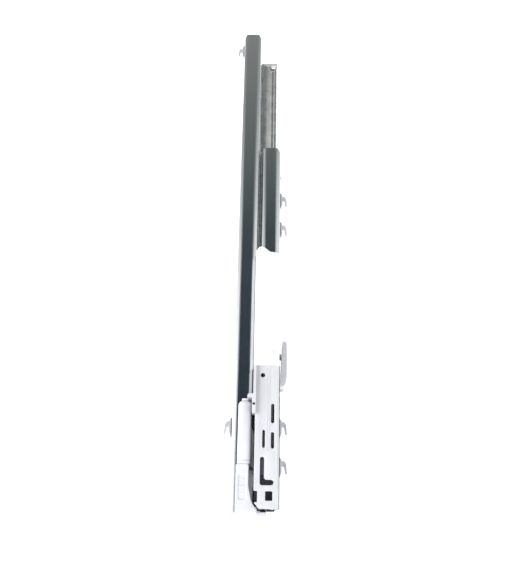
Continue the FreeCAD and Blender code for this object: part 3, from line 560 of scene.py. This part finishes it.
def make_mechanism_cover():
    """The rear cover: a plate with a track, three slots, a round and a square hole, and low ribs."""
    outline = [
        (MECHANISM_LEFT, 11),
        (MECHANISM_LEFT, COVER_JOIN),
        (MECHANISM_RIGHT, COVER_JOIN),
        (MECHANISM_RIGHT, 1.5),
        (17, 1.5),
        (MECHANISM_LEFT, 5),
        (16, 5),
        (16, 11),
    ]
    track = [
        (17.3, 28.6),
        (17.5, 29.4),
        (18.5, 29.8),
        (19.5, 29.4),
        (19.7, 28.6),
        (19.7, 18.2),
        (20.6, 17.1),
        (23.6, 17.1),
        (24.8, 16.7),
        (25.2, 15.6),
        (24.8, 14.5),
        (23.6, 14.1),
        (18.5, 14.1),
        (17.9, 14.26),
        (17.46, 14.7),
        (17.3, 15.3),
    ]
    holes = [
        rounded(track, 0.35, 3),
        slot_outline(24.4, 50, 24.4, 59.6, 0.95),
        slot_outline(24.4, 35.4, 24.4, 43, 0.95),
        slot_outline(19.2, 35.6, 19.2, 44.4, 0.8),
        slot_outline(18.3, 77.9, 18.3, 77.9, 1.35, 12),
        rounded(box_outline(20.5, 5.8, 24.6, 10.9), 0.4, 3),
    ]
    meshes = [plate_mesh(rounded(outline, 0.5, 4), holes, COVER_UNDER, COVER_TOP, 0.22)]
    # low ribs beside the slots
    for x, width, start, end in (
        (16.55, 0.35, 32, 82),
        (20.9, 0.5, 33, 82),
        (22.4, 0.4, 33, 82),
        (26.9, 0.7, 12, 82),
    ):
        rib = rounded(box_outline(x - width / 2, start, x + width / 2, end), width / 2, 4)
        meshes.append(plate_mesh(rib, [], COVER_TOP - 0.4, COVER_TOP + 0.32, 0.12))
    mesh = joined("mechanism_cover", meshes)
    finish_mesh("moulded_mechanism_cover", mesh, PALE, "drawer", ["mechanism_cover"])


def make_spring_cover():
    """A long cap: its top and its two walls are one moulding with a pointed nose."""
    nose = [
        (SPRING_COVER_LEFT, 161.6),
        (14.6, 164.4),
        (16.3, 165.2),
        (18.2, 164.3),
        (21.7, 161.3),
        (26.6, 160.6),
        (SPRING_COVER_RIGHT, 160),
    ]
    outline = [(SPRING_COVER_LEFT, COVER_JOIN), *nose, (SPRING_COVER_RIGHT, COVER_JOIN)]
    top = plate_mesh(rounded(outline, 0.8, 5), [], COVER_UNDER, COVER_TOP, 0.58)
    wall_rear = COVER_JOIN + 0.05
    walls = [
        box_outline(SPRING_COVER_LEFT, wall_rear, SPRING_COVER_LEFT + 1.4, 160.6),
        box_outline(SPRING_COVER_RIGHT - 0.8, wall_rear, SPRING_COVER_RIGHT, 159.9),
        [(SPRING_COVER_LEFT, 160), *nose],
    ]
    meshes = [top]
    for wall in walls:
        meshes.append(plate_mesh(wall, [], 23.2, COVER_TOP - 0.6, 0.1))
    # raised arrow and bar that show which way the cover goes on
    arrow = [(23.4, 102.4), (24.8, 102.4), (24.1, 104.6)]
    bar = box_outline(23.9, 91.2, 24.9, 93.8)
    marks = [plate_mesh(mark, [], COVER_TOP - 0.2, COVER_TOP + 0.1, 0.05) for mark in (arrow, bar)]
    finish_mesh("cover_marks", joined("cover_marks", marks), MARKING, "drawer")
    mesh = joined("spring_cover", meshes)
    finish_mesh("moulded_spring_cover", mesh, WHITE, "drawer", ["spring_cover"])


def coil_points(x, z, start, end, radius, turns, per_turn=14):
    """Points in mm along a coil that runs along Y."""
    points = []
    total = int(turns * per_turn)
    for k in range(total + 1):
        bend = 2 * math.pi * k / per_turn
        y = start + (end - start) * k / total
        points.append((x + radius * math.cos(bend), y, z + radius * math.sin(bend)))
    return points


def make_long_springs():
    """The two tension springs, each close wound with a hook at both ends."""
    wire = 0.3
    hook_line = ((2.8, 28.6), (1.6, 28.4), (0.5, 27.4), (0.6, 26.2))  # from the tip, and height
    for name, node, x in (("left", "left_spring", 19.0), ("right", "right_spring", 24.0)):
        low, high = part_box(node)
        start, end = (low.y - REAR) / MM, (high.y - REAR) / MM
        coils = coil_points(x, 27, start + 2.4, end - 2.4, 1.6, 96)
        meshes = [wire_mesh(coils, wire, 6)]
        for tip, inward in ((start, 1), (end, -1)):
            hook = [(x, tip + inward * back, z) for back, z in hook_line]
            meshes.append(wire_mesh(hook, wire))
        mesh = joined(node, meshes)
        piece = finish_mesh(f"{name}_wound_spring", mesh, SPRING_STEEL, None, [node], 80)
        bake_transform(piece)


def make_latch_spring():
    """A short coil between the drawer member and the latch lever, which presses it flat."""
    low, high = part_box("latch_spring")
    points = []
    axis, radius = 98, 1.9
    turns, per_turn = 3.5, 18
    total = int(turns * per_turn)
    for k in range(total + 1):
        bend = 2 * math.pi * k / per_turn
        x = low.x / MM + 0.3 + (high.x - low.x) / MM * k / total * 0.7
        points.append((x, axis + radius * math.cos(bend), radius * math.sin(bend)))
    mesh = wire_mesh(points, 0.25)
    piece = finish_mesh("wound_latch_spring", mesh, PRESSED, None, ["latch_spring"], 80)
    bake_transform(piece)


# ---------------------------------------------------------------- damper and rear block


def make_damper():
    """A moulded tube with a rounded front end, and a shallow ring where the bush is pressed in."""
    x, z, radius, bore = 7.75, 27.7, 3.85, 2.6
    rear, length = 26, 33.7
    profile = [(0, radius - 0.4), (0.4, radius)]
    profile += [(2.0, radius), (2.2, radius - 0.12), (2.6, radius - 0.12), (2.8, radius)]
    profile += [(length - 0.1, radius), (length, radius - 0.06)]
    tube = turned_mesh(profile + [(length, bore), (2, bore), (2, 0)], (x, rear, z))
    finish_mesh("damper_tube", tube, DAMPER_PLASTIC, "cabinet", ["damper_cylinder"])
    cap_length, hole, steps = 2.8, 1.1, 12
    cap = [(0, radius - 0.04), (0.1, radius)]
    for k in range(1, steps + 1):
        bend = math.pi / 2 * k / steps
        out = 0.1 + (cap_length - 0.1) * math.sin(bend)
        cap.append((out, hole + 0.15 + (radius - hole - 0.15) * math.cos(bend)))
    cap += [(cap_length, hole), (0, hole)]
    mesh = turned_mesh(cap, (x, rear + length, z))
    finish_mesh("damper_end", mesh, DAMPER_PLASTIC, "cabinet", ["damper_cap"])


def make_rear_block():
    """The block behind the damper, its ribbed pocket, its tongue in the channel and its end plate."""
    plan = [
        (3.4, -0.6),
        (3.4, 26),
        (10.9, 26),
        (10.9, 14),
        (12.6, 6),
        (13.3, 4.6),
        (16, 1),
        (16, -0.6),
    ]
    pocket = rounded(box_outline(5.2, 6.5, 9.2, 20), 0.8, 4)
    meshes = [
        plate_mesh(box_outline(3.4, -0.6, 4.9, 26), [], 23, 24.3, 0.1),
        plate_mesh(rounded(plan, 1.0, 5), [], 24, 27.9, 0.3),
        plate_mesh(rounded(plan, 1.0, 5), [pocket], 27.4, 28.4, 0.45),
        plate_mesh(rounded(box_outline(3.5, -1, 11.5, 10), 0.6, 4), [], -12, 12, 0.4),
        plate_mesh(rounded(box_outline(0, -3.2, 21.3, 0), 1.2, 6), [], -22.5, 25.4, 0.5),
    ]
    for y in (9.5, 13.2, 16.9):
        meshes.append(plate_mesh(box_outline(5.2, y, 9.2, y + 0.7), [], 27.4, 28.2, 0.1))
    mesh = joined("rear_block", meshes)
    finish_mesh("moulded_rear_block", mesh, BLOCK, "cabinet", ["rear_block"])


def make_front_bumper():
    """The plate on the middle member's front end, and the two paler clips that hold it there."""
    face = box_outline(13.7, 329, 25.8, 331.6)
    plates = []
    for bottom, top, left in ((-17.4, 17.4, 13.7), (17.0, 17.9, 19.6), (-17.9, -17.0, 19.6)):
        outline = [(max(x, left), y) for x, y in face]
        plates.append(plate_mesh(rounded(outline, 0.6, 4), [], bottom, top, 0.3))
    plate = joined("middle_front_bumper", plates)
    finish_mesh("moulded_front_bumper", plate, BUMPER, "middle", ["middle_front_bumper"])
    clips = []
    for bottom, top in ((16.6, 17.9), (-17.9, -16.6)):
        outline = box_outline(21.4, 326.6, 24.6, 329.4)
        clips.append(plate_mesh(rounded(outline, 0.5, 4), [], bottom, top, 0.3))
    finish_mesh("bumper_clips", joined("bumper_clips", clips), MARKING, "middle")


make_mechanism_cover()
make_spring_cover()
make_long_springs()
make_latch_spring()
make_damper()
make_rear_block()
make_front_bumper()

# ---------------------------------------------------------------- floor, light and camera


def lay_floor():
    """A plain pale floor, lit a little from itself so that it stays even."""
    mesh = bpy.data.meshes.new("floor")
    span = 6.0
    corners = [(x, y, FLOOR_Z) for x, y in box_outline(-span, -span, span, span)]
    mesh.from_pydata(corners, [], [(0, 1, 2, 3)])
    floor = bpy.data.objects.new("floor", mesh)
    bpy.context.collection.objects.link(floor)
    material, _, shader = new_material(
        "floor paint",
        Roughness=0.9,
        Specular_IOR_Level=0.1,
        Emission_Strength=0.45,
    )
    shader.inputs["Base Color"].default_value = (0.93, 0.93, 0.93, 1)
    shader.inputs["Emission Color"].default_value = (1, 1, 1, 1)
    mesh.materials.append(material)


def soft_light(name, place, size, power):
    """A square area light aimed at the slide, seen in no reflection, so that metal tops stay dark."""
    data = bpy.data.lights.new(name, "AREA")
    data.shape = "SQUARE"
    data.size = size
    data.energy = power
    lamp = bpy.data.objects.new(name, data)
    bpy.context.collection.objects.link(lamp)
    lamp.location = place
    lamp.rotation_mode = "QUATERNION"
    lamp.rotation_quaternion = (-Vector(place)).to_track_quat("-Z", "Y")
    lamp.visible_glossy = False


def light_room():
    """A studio with a dark ceiling and bright walls, both changing from rear to front, and soft lights."""
    world = bpy.data.worlds.new("studio")
    bpy.context.scene.world = world
    world.use_nodes = True
    tree = world.node_tree
    tree.nodes.clear()
    place = add(tree, "ShaderNodeTexCoord").outputs["Generated"]
    axes = add(tree, "ShaderNodeSeparateXYZ", {0: place})
    forward = axes.outputs["Y"]
    ceiling = ramp(
        tree,
        forward,
        [
            (0.0, (0.022, 0.026, 0.055)),
            (0.2, (0.026, 0.038, 0.058)),
            (0.457, (0.058, 0.074, 0.086)),
            (0.618, (0.19, 0.21, 0.2)),
            (0.72, (0.31, 0.315, 0.3)),
        ],
    )
    wall = ramp(
        tree,
        forward,
        [
            (0.0, (1.75, 1.75, 1.83)),
            (0.3, (1.6, 1.6, 1.66)),
            (0.457, (0.98, 1.0, 1.0)),
            (0.618, (0.52, 0.54, 0.54)),
            (0.75, (0.4, 0.42, 0.41)),
        ],
    )
    # the wall's light starts a little sooner on the right than on the left
    sideways = math_node(tree, "ABSOLUTE", math_node(tree, "ADD", axes.outputs["X"], 0.04))
    to_wall = ramp(tree, sideways, [(0.25, 0.0), (0.42, 1.0)])
    behind = ramp(tree, math_node(tree, "MULTIPLY", forward, -1.0), [(0.35, 0.0), (0.75, 1.0)])
    below = ramp(tree, math_node(tree, "MULTIPLY", axes.outputs["Z"], -1.0), [(0.0, 0.0), (0.05, 1.0)])
    sky = mix(tree, to_wall, ceiling, wall)
    sky = mix(tree, behind, sky, (1.0, 1.0, 1.0))
    sky = mix(tree, below, sky, (1.0, 1.0, 1.0))
    background = add(tree, "ShaderNodeBackground", {"Color": sky, "Strength": 1.0})
    output = add(tree, "ShaderNodeOutputWorld")
    tree.links.new(background.outputs[0], output.inputs["Surface"])
    soft_light("fill", (-1.1, -0.3, 1.3), 1.6, 17)
    soft_light("rear fill", (-0.2, -1.2, 0.9), 1.0, 3)


def set_camera():
    """A camera above the rear end, looking down and forward along the slide."""
    data = bpy.data.cameras.new("camera")
    data.sensor_width = 36
    data.lens = 37.69
    data.clip_start = 0.01
    camera = bpy.data.objects.new("camera", data)
    bpy.context.collection.objects.link(camera)
    look = Vector((0.00837, 0.37968, -0.92508)).normalized()
    up = Vector((-0.01897, 0.92501, 0.37948)).normalized()
    right = look.cross(up).normalized()
    up = right.cross(look)
    turn = Matrix((right, up, -look)).transposed()
    camera.matrix_world = Matrix.Translation((0.014836, REAR - 0.013762, 0.391075)) @ turn.to_4x4()
    bpy.context.scene.camera = camera


lay_floor()
light_room()
set_camera()
bpy.context.scene.view_settings.view_transform = "Standard"
